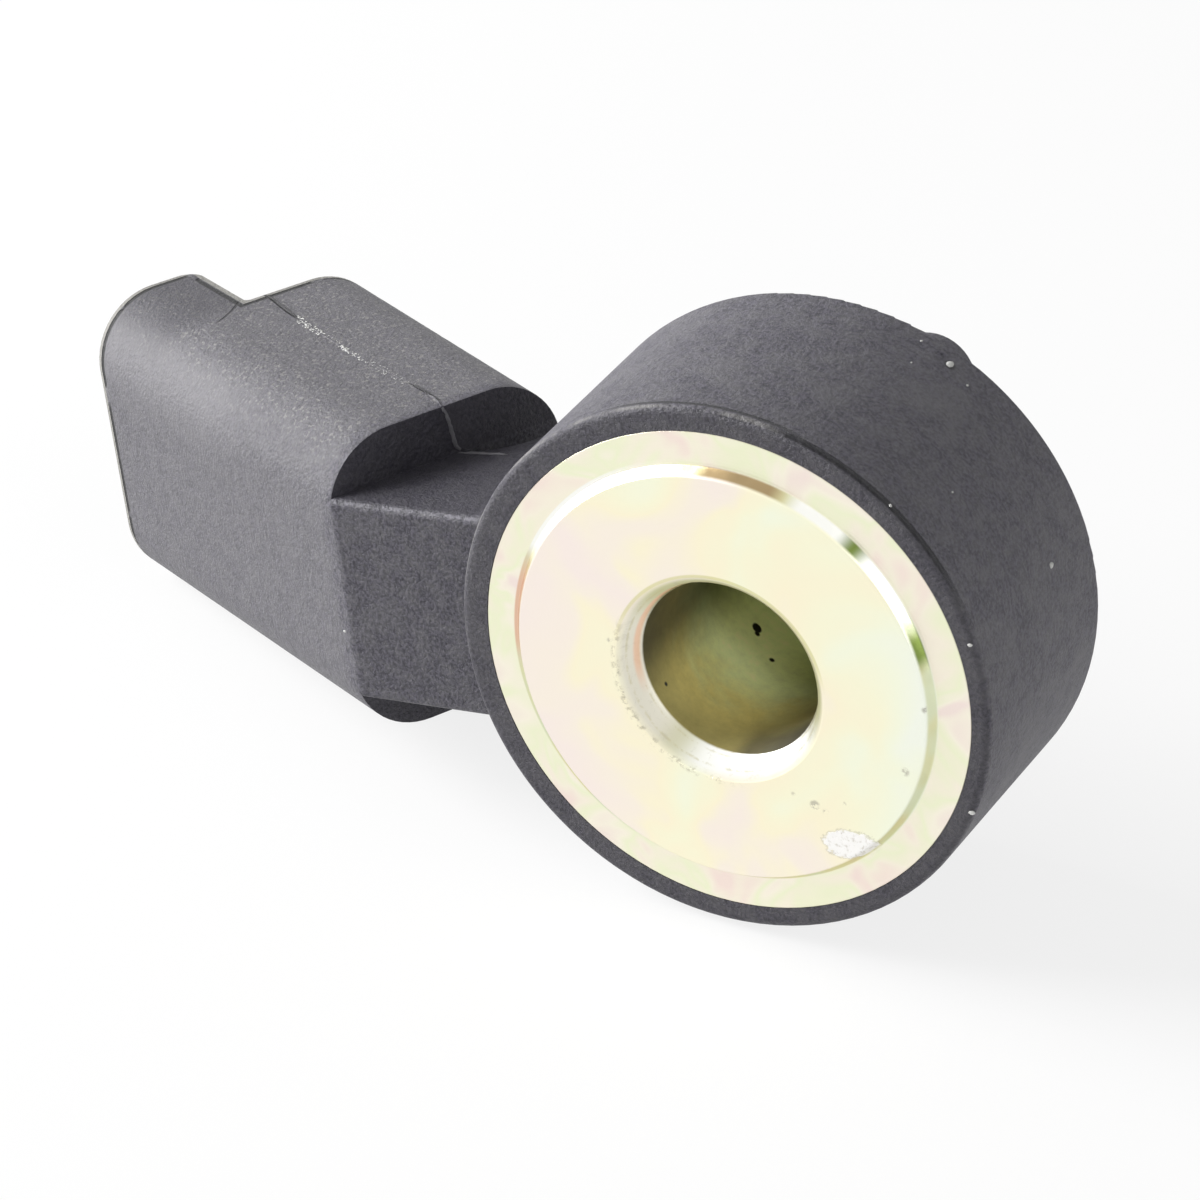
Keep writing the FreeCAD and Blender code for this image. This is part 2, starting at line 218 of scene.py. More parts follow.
nylon, tree, shader, place = start_finish("black_nylon")
station = along(tree, place, socket_root, socket_axis)
across = along(tree, place, socket_root, socket_across)
height = along(tree, place, socket_root, socket_up)
to_ring = {0: place, 1: ring_centre}
from_ring = add_node(tree, "ShaderNodeVectorMath", to_ring, operation="SUBTRACT").outputs[0]
ring_parts = add_node(tree, "ShaderNodeSeparateXYZ", {0: from_ring})
ring_x, ring_y, ring_z = ring_parts.outputs[0], ring_parts.outputs[1], ring_parts.outputs[2]
ring_reach = calc(tree, "SQRT", plus(tree, times(tree, ring_x, ring_x), times(tree, ring_z, ring_z)))
pebble = grain(tree, place, 5.6, 4.0, 0.62)
mottle = grain(tree, place, 1.3, 3.0, 0.6)
cloud = grain(tree, place, 0.30, 4.0, 0.62, 0.5)
fleck = grain(tree, place, 5.0, 1.0, 0.5)
pebble_low = (0.036, 0.0345, 0.045, 1.0)
pebble_high = (0.108, 0.102, 0.127, 1.0)
greyed = (0.158, 0.155, 0.162, 1.0)
dust = (0.27, 0.262, 0.25, 1.0)
shade_black = (0.009, 0.009, 0.010, 1.0)
darker_black = (0.030, 0.028, 0.037, 1.0)
edge_highlight_grey = (0.235, 0.23, 0.26, 1.0)
shoulder_light_grey = (0.225, 0.220, 0.232, 1.0)
mouth_highlight_grey = (0.31, 0.302, 0.275, 1.0)
rim_face_black = (0.030, 0.028, 0.035, 1.0)
colour = tint(tree, limit(tree, pebble, 0.37, 0.63), pebble_low, pebble_high)
colour = tint(tree, times(tree, limit(tree, mottle, 0.40, 0.62), 0.30), colour, greyed)
on_socket = limit(tree, station, 0.2, 1.2)
colour = tint(tree, times(tree, on_socket, 0.36), colour, greyed)
on_barrel = limit(tree, ring_reach, 13.6, 13.2)
rubbed = times(tree, limit(tree, cloud, 0.46, 0.66), 0.30, on_barrel)
colour = tint(tree, rubbed, colour, greyed)

# Dust lies in the grain of the socket's upper face. The neck and the end wall are painted darker than the
# rest: painted shade where the socket and the ring shade them, deepest on the neck's upper and lower faces
# and the end wall over them.
on_top = times(tree, limit(tree, height, 5.6, 7.2), on_socket)
dusty = plus(tree, times(tree, on_top, 0.45), 0.12)
colour = tint(tree, times(tree, limit(tree, fleck, 0.57, 0.68), dusty), colour, dust)
off_barrel = minus(tree, 1.0, on_barrel)
on_neck = times(tree, limit(tree, station, 0.25, 0.0), off_barrel)
above_neck = limit(tree, calc(tree, "ABSOLUTE", height), 4.96, 5.06)
painted_neck_shade = times(tree, on_neck, plus(tree, times(tree, above_neck, 0.50), 0.14))
colour = tint(tree, painted_neck_shade, colour, darker_black)
# A painted highlight along the neck's rounded front top edge, picked out by the surface's facing and broken
# by the grain.
facing = add_node(tree, "ShaderNodeNewGeometry").outputs["Normal"]
facing_up = dot(tree, facing, socket_up)
facing_front = dot(tree, facing, (0.0, -1.0, 0.0))
neck_edge_highlight = times(tree, between(tree, facing_up, 0.56, 0.88, 0.07), limit(tree, facing_front, 0.25, 0.4))
neck_edge_highlight = times(tree, neck_edge_highlight, on_neck, limit(tree, pebble, 0.42, 0.56))
colour = tint(tree, times(tree, neck_edge_highlight, 0.42), colour, edge_highlight_grey)

# Round the socket's mouth the outside edge carries a pale painted highlight, and behind it a dark line of
# painted shade in a shallow groove. The lip's upper end is a little darker, and the shoulder below it is
# painted paler, as painted light.
on_lip = times(tree, on_top, limit(tree, station, 16.5, 19.0))
colour = tint(tree, times(tree, on_lip, 0.50), colour, darker_black)
painted_shoulder_light = times(tree, limit(tree, height, 2.0, 6.0), limit(tree, across, -4.0, -5.5))
painted_shoulder_light = times(tree, painted_shoulder_light, limit(tree, station, 7.0, 13.0), 0.36)
colour = tint(tree, painted_shoulder_light, colour, shoulder_light_grey)
far_edge = most(tree, minus(tree, socket_mouth, station), minus(tree, socket_step, across))
from_mouth = calc(tree, "MINIMUM", minus(tree, socket_lip_end, station), far_edge)
near_mouth = limit(tree, station, 8.0, 10.0)
facing_out = dot(tree, facing, socket_axis)
near_mouth = times(tree, near_mouth, limit(tree, facing_out, 0.97, 0.8))
mouth_rim_highlight = times(tree, between(tree, from_mouth, -0.2, 0.25, 0.04), near_mouth)
colour = tint(tree, times(tree, mouth_rim_highlight, 0.75), colour, mouth_highlight_grey)
line_breaks = limit(tree, grain(tree, place, 0.7, 2.0, 0.5), 0.36, 0.46)
mouth_groove_shade = times(tree, between(tree, from_mouth, 0.28, 0.54, 0.04), near_mouth)
mouth_groove_shade = times(tree, mouth_groove_shade, line_breaks)
colour = tint(tree, mouth_groove_shade, colour, shade_black)

# A crease runs from the step of the mouth over the upper face, towards the side that was marked; painted
# shade darkens it.
crease_start = minus(tree, 18.45, station)
crease_side = minus(tree, -0.35, across)
crease_along = plus(tree, times(tree, crease_start, 0.603), times(tree, crease_side, 0.798))
crease_gap = minus(tree, times(tree, crease_start, 0.798), times(tree, crease_side, 0.603))
crease_bow = times(tree, calc(tree, "SINE", times(tree, crease_along, 1.02)), 0.16)
crease_gap = calc(tree, "ABSOLUTE", minus(tree, crease_gap, crease_bow))
crease = times(tree, limit(tree, crease_gap, 0.11, 0.04), between(tree, crease_along, 0.2, 2.7, 0.3))
crease = times(tree, crease, limit(tree, height, 4.0, 5.0))
colour = tint(tree, times(tree, crease, 0.6), colour, shade_black)

# Where the halves of the mould met, a fine gap runs beside the flash on the upper face, painted dark as
# painted shade.
line_across = plus(tree, times(tree, limit(tree, station, 14.6, 18.0), 0.26), 0.53)
line_gap = calc(tree, "ABSOLUTE", minus(tree, across, line_across))
line_reach = most(tree, limit(tree, station, 13.8, 14.6), limit(tree, station, 3.6, 2.8))
parting_gap = times(tree, limit(tree, line_gap, 0.085, 0.04), line_reach, on_top)
colour = tint(tree, times(tree, parting_gap, 0.85), colour, shade_black)

# The ring's front rim is darker next to the flange. Its outer edge on the left carries a pale line, partly
# rubbed wear and partly a painted highlight, with a dark line of painted shade in a groove behind it that
# runs on over the top and down the right.
rim_face = times(tree, limit(tree, ring_y, 0.74, 0.60), on_barrel)
colour = tint(tree, times(tree, rim_face, 0.46), colour, rim_face_black)
rim_edge_wear_and_highlight = times(tree, between(tree, ring_y, 0.66, 0.84, 0.05), limit(tree, ring_reach, 12.25, 12.4))
rim_edge_wear_and_highlight = times(tree, rim_edge_wear_and_highlight, on_barrel, limit(tree, cloud, 0.36, 0.56))
rim_edge_wear_and_highlight = times(tree, rim_edge_wear_and_highlight, limit(tree, ring_x, 4.0, 1.0))
colour = tint(tree, times(tree, rim_edge_wear_and_highlight, 0.50), colour, dust)
rim_top_shade = times(tree, between(tree, ring_y, 0.96, 1.10, 0.05), between(tree, ring_x, -5.5, 3.0, 1.0))
rim_top_shade = times(tree, rim_top_shade, limit(tree, ring_z, 10.0, 11.2))
rim_right_shade = times(tree, between(tree, ring_y, 0.70, 0.92, 0.06), between(tree, ring_x, 2.6, 10.6, 1.2))
rim_right_shade = times(tree, rim_right_shade, limit(tree, ring_z, 2.0, 5.0))
rim_top_shade = times(tree, most(tree, rim_top_shade, rim_right_shade), on_barrel)
colour = tint(tree, times(tree, rim_top_shade, 0.85), colour, shade_black)
# Painted shade round and under the largest speck.
speck_gap = away(tree, place, largest_speck)
colour = tint(tree, times(tree, limit(tree, speck_gap, 0.34, 0.22), 0.8), colour, shade_black)
tree.links.new(colour, shader.inputs["Base Color"])
tree.links.new(plus(tree, times(tree, pebble, 0.24), 0.38), shader.inputs["Roughness"])
surface = plus(tree, pebble, times(tree, mottle, 0.6))
surface = minus(tree, surface, times(tree, most(tree, most(tree, mouth_groove_shade, parting_gap), rim_top_shade), 1.6))
surface = minus(tree, surface, times(tree, crease, 0.8))
bump = add_node(tree, "ShaderNodeBump", {"Height": surface, "Distance": 0.00013, "Strength": 0.85})
tree.links.new(bump.outputs["Normal"], shader.inputs["Normal"])
shader.inputs["Specular IOR Level"].default_value = 0.38

soften_edges(housing, housing_edge_radius, 42.0)
wear(housing, nylon)


# The mould's parting line. A thin fin of nylon squeezed out where the halves of the mould met. It runs
# down the socket's upper and lower faces, over the end wall and along the back edge of the neck.
flash_width = 0.00020
flash_height = 0.00010


def on_socket_at(s, t, z):
    return (socket_root + socket_axis * s + socket_across * t + socket_up * z) / 1000.0


def socket_half_height(s):
    return 7.5 + s * math.tan(math.radians(0.5))


def run_between(points, step):
    """Evenly spaced points along a broken line, with their outward directions."""
    found = []
    for (first, out_first), (second, out_second) in zip(points, points[1:]):
        count = max(2, int((second - first).length / step))
        for index in range(count):
            share = index / count
            found.append((first.lerp(second, share), out_first.lerp(out_second, share).normalized()))
    found.append(points[-1])
    return found


def lay_ridge(mesh, points, width, height, seed, uneven=0.35, step=0.00014):
    """A low ridge that follows a line on a surface, thicker and thinner as torn flash is."""
    chance = random.Random(seed)
    stations = run_between(points, step)
    rows = []
    for index, (spot, out) in enumerate(stations):
        ahead = stations[min(index + 1, len(stations) - 1)][0] - stations[max(index - 1, 0)][0]
        side = ahead.cross(out).normalized()
        taper = min(1.0, (index + 0.6) / 4.0, (len(stations) - index - 0.4) / 4.0)
        wide = width * (0.55 + 0.45 * taper) * (1.0 + chance.uniform(-uneven, uneven))
        tall = height * taper * (1.0 + chance.uniform(-uneven, uneven))
        middle = spot + side * chance.uniform(-0.12, 0.12) * width
        row = []
        for across_share, up_share in ((-0.5, -0.5), (-0.34, 0.45), (0.0, 1.0), (0.34, 0.45), (0.5, -0.5)):
            row.append(mesh.verts.new(middle + side * wide * across_share + out * tall * up_share))
        rows.append(row)
    for low, high in zip(rows, rows[1:]):
        for index in range(4):
            mesh.faces.new((low[index], low[index + 1], high[index + 1], high[index]))
        mesh.faces.new((low[4], low[0], high[0], high[4]))
    mesh.faces.new(rows[0])
    mesh.faces.new(list(reversed(rows[-1])))


def finish_mesh(name, mesh, finish):
    """Turns a built mesh into a smooth-shaded piece of the sensor."""
    bmesh.ops.recalc_face_normals(mesh, faces=mesh.faces)
    data = bpy.data.meshes.new(name)
    mesh.to_mesh(data)
    mesh.free()
    for face in data.polygons:
        face.use_smooth = True
    piece = bpy.data.objects.new(name, data)
    scene.collection.objects.link(piece)
    piece.data.materials.append(finish)
    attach(piece, "root")
    return piece


up = socket_up
down = -socket_up
outward = -socket_axis
arm_out = Vector((-0.991030, 0.0, -0.133643))
flash = bmesh.new()
upper_runs = (
    ((18.0, 0.88), (17.2, 0.80), (16.2, 0.72), (15.2, 0.60), (14.4, 0.60)),
    ((3.2, 0.56), (1.9, 0.52), (0.9, 0.42), (0.06, 0.24)),
)
for number, run in enumerate(upper_runs):
    line = [(on_socket_at(s, t, socket_half_height(s)), up) for s, t in run]
    lay_ridge(flash, line, flash_width * 0.8, flash_height, 11 + number)
faint_run = ((14.2, 0.55), (11.6, 0.40), (9.2, 0.30), (6.4, 0.40), (3.4, 0.50))
line = [(on_socket_at(s, t, socket_half_height(s)), up) for s, t in faint_run]
lay_ridge(flash, line, 0.00010, 0.000025, 17, 0.8)
lower_run = ((18.0, 0.6), (12.0, 0.5), (6.0, 0.45), (0.06, 0.55))
line = [(on_socket_at(s, t, -socket_half_height(s)), down) for s, t in lower_run]
lay_ridge(flash, line, 0.00012, 0.00004, 29)
finish_mesh("parting_flash", flash, nylon)

flash = bmesh.new()
end_run = ((7.46, 0.22), (7.15, 0.36), (6.75, 0.48), (6.2, 0.54), (5.6, 0.60), (5.3, 0.70), (5.12, 0.86))
neck_top = 5.06
neck_back_run = ((16.80, 8.46), (16.30, 8.54), (15.70, 8.62), (15.10, 8.72), (14.40, 8.84))
for side in (1.0, -1.0):
    line = [(on_socket_at(0.0, t, z * side), outward) for z, t in end_run]
    lay_ridge(flash, line, flash_width * 1.05, flash_height * 1.6, 23 + side, 0.22)
    line = []
    for out, back in neck_back_run:
        spot = (arm_out * out + Vector((0.0, back, 0.0)) + socket_up * neck_top * side) / 1000.0
        line.append((spot, (socket_up * side + Vector((0.0, 0.5, 0.0))).normalized()))
    lay_ridge(flash, line, flash_width * 0.8, flash_height * 0.9, 37 + side, 0.3)

# The fin over the end wall and along the neck is paler than the housing: partly stress-whitened nylon, partly
# a painted highlight where the fin catches the light.
flash_nylon_and_highlight, tree, shader, place = start_finish("flash_nylon_and_highlight")
shade = grain(tree, place, 3.0, 3.0, 0.6)
paint(tree, shader, shade, (0.115, 0.112, 0.124, 1.0), (0.25, 0.245, 0.26, 1.0), 0.2, 0.42)
finish_mesh("neck_flash", flash, flash_nylon_and_highlight)


# Torn bits of that fin. Where it was scraped off the socket's upper face the nylon turned white and
# left crooked crumbs, thickest near the mouth.
torn, tree, shader, place = start_finish("torn_nylon")
shade = grain(tree, place, 6.0, 2.0)
paint(tree, shader, shade, (0.42, 0.42, 0.40, 1.0), (0.86, 0.86, 0.84, 1.0), 0.3, 0.5)
crumb_groups = (
    (13.9, 14.5, 0.50, 0.70, 7, 0.075),
    (11.5, 13.9, 0.22, 0.66, 62, 0.070),
    (9.9, 11.4, 0.28, 0.60, 10, 0.045),
    (8.9, 9.9, 0.16, 0.50, 16, 0.095),
    (7.4, 8.9, 0.16, 0.56, 22, 0.060),
    (3.6, 7.4, 0.10, 0.62, 44, 0.042),
    (2.6, 3.6, 0.46, 0.60, 4, 0.040),
)
crumbs = bmesh.new()
chance = random.Random(5)
for near, far, low, high, count, size in crumb_groups:
    for number in range(count):
        s, t = chance.uniform(near, far), chance.uniform(low, high)
        made = bmesh.ops.create_icosphere(crumbs, subdivisions=1, radius=0.001)
        heading = chance.uniform(0.0, math.pi)
        ahead = (socket_axis * math.cos(heading) + socket_across * math.sin(heading)).normalized()
        aside = socket_up.cross(ahead).normalized()
        long = size * chance.uniform(0.5, 1.7)
        wide = size * chance.uniform(0.3, 0.8)
        tall = size * chance.uniform(0.25, 0.6)
        spot = on_socket_at(s, t, socket_half_height(s))
        for vert in made["verts"]:
            rough = vert.co * chance.uniform(0.7, 1.3)
            vert.co = spot + ahead * rough.x * long + aside * rough.y * wide + socket_up * rough.z * tall
finish_mesh("torn_flash", crumbs, torn)


# Loose specks. A few pale grains of dust and swarf stuck to the ring.
speck_spots = (
    (largest_speck, (0.44, -0.30, 0.84), 0.19),
    ((11.65, 8.39, 4.57), (0.93, -0.02, 0.36), 0.15),
    ((3.94, 11.46, 12.09), (0.33, -0.02, 0.95), 0.07),
    ((4.25, 9.66, 11.93), (0.35, -0.02, 0.94), 0.05),
    ((6.45, 10.71, 10.88), (0.52, -0.02, 0.85), 0.07),
    ((7.26, 0.80, 10.04), (0.60, -0.02, 0.80), 0.09),
    ((8.46, 4.56, 9.15), (0.69, -0.02, 0.73), 0.06),
    ((11.18, 0.56, 4.59), (0.32, -0.94, 0.12), 0.10),
    ((11.70, 0.56, -3.48), (0.26, -0.96, -0.09), 0.12),
    ((-20.10, 2.60, -4.40), (-0.30, -0.95, 0.0), 0.07),
)
specks = bmesh.new()
chance = random.Random(9)
for spot, out, size in speck_spots:
    made = bmesh.ops.create_icosphere(specks, subdivisions=2, radius=size / 1000.0)
    turn = Vector(out).to_track_quat("Z", "Y").to_matrix()
    for vert in made["verts"]:
        rough = 1.0 + chance.uniform(-0.22, 0.22)
        flat = Vector((vert.co.x * rough * 1.15, vert.co.y * rough * 0.8, vert.co.z * rough * 0.45))
        vert.co = turn @ flat + Vector(spot) / 1000.0
finish_mesh("dust_specks", specks, torn)


# The mounting sleeve. Turned from free-cutting steel, zinc plated and yellow passivated, so that its
# bright face shows soft patches of pink, yellow and green. It is held in the moulding by its flange.
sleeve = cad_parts["mounting_sleeve"]
sleeve_edge_radius = 0.00006
seat_edge_radius = 9.63
seat_foot_radius = 9.95
flange_radius = 11.5
bore_radius = 4.2


def blend_stops(tree, value, stops):
    """A colour ramp from (place, colour) stops."""
    ramp = tree.nodes.new("ShaderNodeValToRGB")
    tree.links.new(value, ramp.inputs[0])
    elements = ramp.color_ramp.elements
    while len(elements) > 1:
        elements.remove(elements[-1])
    elements[0].position, elements[0].color = stops[0][0], (*stops[0][1], 1.0)
    for position, colour in stops[1:]:
        element = elements.new(position)
        element.color = (*colour, 1.0)
    return ramp.outputs[0]


def spot_mask(tree, place, centre, radius, soft):
    """1 within a small round spot."""
    return limit(tree, away(tree, place, centre), radius + soft, radius - soft)


zinc, tree, shader, place = start_finish("yellow_zinc")
parts = add_node(tree, "ShaderNodeSeparateXYZ", {0: place})
x, y, z = parts.outputs[0], parts.outputs[1], parts.outputs[2]
radius = calc(tree, "SQRT", plus(tree, times(tree, x, x), times(tree, z, z)))
angle = plus(tree, calc(tree, "DIVIDE", calc(tree, "ARCTAN2", z, x), math.tau), 0.5)
patches = grain(tree, place, 0.16, 2.0, 0.5, 0.6)
lean = plus(tree, times(tree, x, 0.016), times(tree, z, 0.006))
film = plus(tree, patches, lean)
film_stops = (
    (0.28, (0.94, 0.84, 0.78)),
    (0.42, (0.95, 0.87, 0.75)),
    (0.50, (0.97, 0.905, 0.68)),
    (0.60, (0.95, 0.93, 0.70)),
    (0.70, (0.92, 0.945, 0.755)),
    (0.82, (0.905, 0.937, 0.83)),
)
colour = blend_stops(tree, film, film_stops)
film_wide = grain(tree, place, 0.28, 2.0, 0.5, 0.8)
flange_stops = (
    (0.30, (0.90, 0.76, 0.69)),
    (0.42, (0.92, 0.86, 0.72)),
    (0.52, (0.86, 0.88, 0.64)),
    (0.60, (0.93, 0.88, 0.74)),
    (0.72, (0.89, 0.77, 0.71)),
)
flange_film = blend_stops(tree, film_wide, flange_stops)
colour = tint(tree, limit(tree, radius, seat_foot_radius - 0.05, seat_foot_radius + 0.1), colour, flange_film)

# The seat's chamfer is straw with salmon on the left, with two stretches of painted highlight and a few
# painted reflections of dark things on it.
straw = (0.72, 0.68, 0.38, 1.0)
salmon = (0.75, 0.50, 0.36, 1.0)
highlight_silver = (0.95, 0.95, 0.90, 1.0)
reflection_green = (0.18, 0.24, 0.06, 1.0)
tan = (0.38, 0.28, 0.15, 1.0)
edge_tone = grain(tree, place, 0.35, 2.0, 0.5)
edge_colour = tint(tree, limit(tree, edge_tone, 0.40, 0.60), straw, (0.68, 0.72, 0.50, 1.0))
on_left = most(tree, limit(tree, angle, 0.93, 0.97), limit(tree, angle, 0.04, 0.01))
edge_colour = tint(tree, on_left, edge_colour, salmon)
for low, high in ((0.59, 0.70), (0.80, 0.94)):
    edge_colour = tint(tree, between(tree, angle, low, high, 0.008), edge_colour, highlight_silver)
for low, high, painted_reflection in ((0.553, 0.578, reflection_green), (0.640, 0.656, reflection_green), (0.710, 0.770, tan)):
    edge_colour = tint(tree, between(tree, angle, low, high, 0.008), edge_colour, painted_reflection)
on_edge = between(tree, radius, seat_edge_radius + 0.06, seat_foot_radius + 0.02, 0.05)
left_foot = between(tree, radius, seat_foot_radius - 0.05, seat_foot_radius + 0.20, 0.04)
left_foot = times(tree, left_foot, limit(tree, x, -3.0, -7.0))
on_edge = most(tree, on_edge, left_foot)
colour = tint(tree, on_edge, colour, edge_colour)
in_entry = times(tree, limit(tree, radius, 4.97, 4.91), limit(tree, y, 0.01, 0.07))
# The entry is painted by angle round the bore: a silver sector of painted highlight, paler stretches of
# painted reflection and dull straw between.
entry_colour = tint(tree, between(tree, angle, 0.19, 0.45, 0.04), (0.55, 0.54, 0.32, 1.0), highlight_silver)
entry_pale_reflection = most(tree, limit(tree, angle, 0.86, 0.96), limit(tree, angle, 0.20, 0.12))
entry_colour = tint(tree, entry_pale_reflection, entry_colour, (0.74, 0.71, 0.60, 1.0))
entry_scratch = grain(tree, place, 1.6, 4.0, 0.75, 0.5)
entry_lines = most(tree, between(tree, y, 0.33, 0.40, 0.03), between(tree, y, 0.94, 1.02, 0.04))
entry_lines = times(tree, entry_lines, limit(tree, entry_scratch, 0.40, 0.56))
entry_colour = tint(tree, times(tree, entry_lines, 0.40), entry_colour, (0.52, 0.47, 0.24, 1.0))
scratched = times(tree, limit(tree, entry_scratch, 0.52, 0.70), 0.35)
entry_colour = tint(tree, scratched, entry_colour, (0.48, 0.45, 0.36, 1.0))
entry_left = most(tree, limit(tree, angle, 0.80, 0.88), limit(tree, angle, 0.09, 0.02))
entry_glow = times(tree, between(tree, y, 0.72, 1.08, 0.10), entry_left)
entry_colour = tint(tree, times(tree, entry_glow, 0.75), entry_colour, (0.80, 0.50, 0.33, 1.0))
in_entry_colour = times(tree, in_entry, plus(tree, times(tree, limit(tree, y, 0.02, 0.30), 0.65), 0.35))
colour = tint(tree, in_entry_colour, colour, entry_colour)
in_bore = times(tree, limit(tree, radius, bore_radius + 0.10, bore_radius + 0.02), limit(tree, y, 1.15, 1.3))
bore_film = grain(tree, place, 0.35, 3.0, 0.6, 0.5)
bore_depth = plus(tree, y, times(tree, minus(tree, bore_film, 0.5), 5.0))
bore_colour = tint(tree, limit(tree, bore_depth, 3.2, 7.5), (0.96, 0.81, 0.26, 1.0), (0.92, 1.0, 0.48, 1.0))
# The bore's wall is given painted light and shade: brighter in one sector round the bore, lighter the deeper
# it goes and darker in a corner near the entry, with mottling over it.
bore_lit_sector = times(tree, limit(tree, angle, 0.0, 0.12), limit(tree, angle, 0.38, 0.19))
bore_shade = plus(tree, times(tree, bore_lit_sector, 0.78), 0.22)
bore_mottle_and_light = plus(tree, times(tree, grain(tree, place, 1.8, 4.0, 0.7), 0.5), 0.75)
bore_depth_light = plus(tree, times(tree, limit(tree, y, 1.0, 5.2), 0.60), 0.40)
bore_mottle_and_light = times(tree, bore_mottle_and_light, bore_depth_light)
bore_corner_shade = times(tree, between(tree, angle, 0.265, 0.45, 0.02), limit(tree, y, 4.4, 2.4))
bore_mottle_and_light = times(tree, bore_mottle_and_light, minus(tree, 1.0, times(tree, bore_corner_shade, 0.6)))
bore_shade = times(tree, bore_shade, bore_mottle_and_light)
colour = tint(tree, in_bore, colour, scaled(tree, bore_colour, bore_shade))
bore_spots = (
    ((-2.70, 9.82, -3.21), 0.26),
    ((-2.55, 9.55, -3.33), 0.14),
    ((-1.41, 8.71, -3.95), 0.13),
    ((-3.51, 2.18, -2.30), 0.10),
)
for centre, size in bore_spots:
    colour = tint(tree, spot_mask(tree, place, centre, size, 0.05), colour, (0.02, 0.02, 0.012, 1.0))
dirt = grain(tree, place, 2.6, 4.0, 0.7)
near_entry = between(tree, radius, 4.84, 5.12, 0.10)
lower_left = limit(tree, plus(tree, times(tree, x, -0.75), times(tree, z, -0.66)), 1.6, 3.8)
pitted = times(tree, near_entry, lower_left)
pits = times(tree, pitted, limit(tree, dirt, 0.48, 0.64))
colour = tint(tree, times(tree, pits, 0.6), colour, (0.42, 0.39, 0.30, 1.0))
top_line = times(tree, between(tree, radius, 4.90, 5.06, 0.04), limit(tree, z, 0.5, 2.5))
colour = tint(tree, times(tree, top_line, 0.55), colour, (0.62, 0.60, 0.22, 1.0))
patch_centre_x, patch_centre_z = 6.45, -6.38
patch_half_width, patch_half_height, patch_slope = 1.30, 0.74, 0.10
off_centre = minus(tree, x, patch_centre_x)
patch_x = calc(tree, "DIVIDE", off_centre, patch_half_width)
patch_z = minus(tree, z, times(tree, off_centre, patch_slope))
patch_z = calc(tree, "DIVIDE", minus(tree, patch_z, patch_centre_z), patch_half_height)
patch_gap = calc(tree, "SQRT", plus(tree, times(tree, patch_x, patch_x), times(tree, patch_z, patch_z)))
patch_gap = plus(tree, patch_gap, times(tree, minus(tree, dirt, 0.5), 0.9))
on_front = limit(tree, y, 0.6, 0.3)
scuff = times(tree, limit(tree, patch_gap, 1.0, 0.88), on_front)
scuff_line = times(tree, between(tree, patch_gap, 0.95, 1.02, 0.05), on_front)
crumble = grain(tree, place, 4.5, 3.0, 0.7)
scuff_colour = tint(tree, limit(tree, crumble, 0.28, 0.5), (0.66, 0.63, 0.58, 1.0), (0.92, 0.91, 0.89, 1.0))
colour = tint(tree, scuff, colour, scuff_colour)
colour = tint(tree, times(tree, scuff_line, 0.42), colour, (0.34, 0.32, 0.26, 1.0))
marks = 0.0
seat_marks = (
    ((4.74, 0.0, -4.87), 0.22),
    ((5.25, 0.0, -5.05), 0.10),
    ((8.81, 0.0, -1.99), 0.20),
    ((9.56, 0.0, 1.28), 0.14),
    ((6.1, 0.0, -4.4), 0.08),
    ((3.7, 0.0, -4.6), 0.07),
    ((-5.2, 0.0, 0.6), 0.10),
)
for centre, size in seat_marks:
    marks = most(tree, marks, spot_mask(tree, place, centre, size, 0.08))
marks = times(tree, marks, limit(tree, dirt, 0.42, 0.56))
colour = tint(tree, times(tree, marks, 0.7), colour, (0.40, 0.38, 0.32, 1.0))
# The flange's outer edge is darker.
flange_edge_dark = limit(tree, radius, flange_radius - 0.07, flange_radius - 0.01)
colour = tint(tree, times(tree, flange_edge_dark, 0.6), colour, (0.35, 0.32, 0.24, 1.0))
tree.links.new(colour, shader.inputs["Base Color"])
damage = most(tree, most(tree, scuff, pits), marks)
deep = limit(tree, y, 4.2, 9.5)
bore_dull = times(tree, in_bore, minus(tree, 0.65, times(tree, deep, 0.60)))
dull = most(tree, times(tree, damage, 0.55), bore_dull)
tree.links.new(minus(tree, 1.0, dull), shader.inputs["Metallic"])
satin = plus(tree, times(tree, dirt, 0.12), 0.26)
bore_satin = times(tree, in_bore, minus(tree, 1.0, times(tree, deep, 1.1)))
satin = plus(tree, satin, times(tree, most(tree, damage, bore_satin), 0.25))
tree.links.new(satin, shader.inputs["Roughness"])
turning = calc(tree, "SINE", times(tree, radius, math.tau / 0.16))
micro = grain(tree, place, 7.0, 2.0, 0.6)
relief = plus(tree, times(tree, turning, 0.05), times(tree, micro, 0.25))
relief = plus(tree, relief, times(tree, scuff, crumble, 1.3))
relief = minus(tree, relief, times(tree, most(tree, pits, marks), 1.2))
bump = add_node(tree, "ShaderNodeBump", {"Height": relief, "Distance": 0.00004, "Strength": 0.35})

# The tool left fine steps round the bore's entry, which turn its light towards the front.
leaned = {0: bump.outputs["Normal"], 1: scaled(tree, (0.0, -0.9, 0.0), in_entry)}
stepped = add_node(tree, "ShaderNodeVectorMath", leaned, operation="ADD").outputs[0]
stepped = add_node(tree, "ShaderNodeVectorMath", {0: stepped}, operation="NORMALIZE").outputs[0]
tree.links.new(stepped, shader.inputs["Normal"])
soften_edges(sleeve, sleeve_edge_radius)
wear(sleeve, zinc)


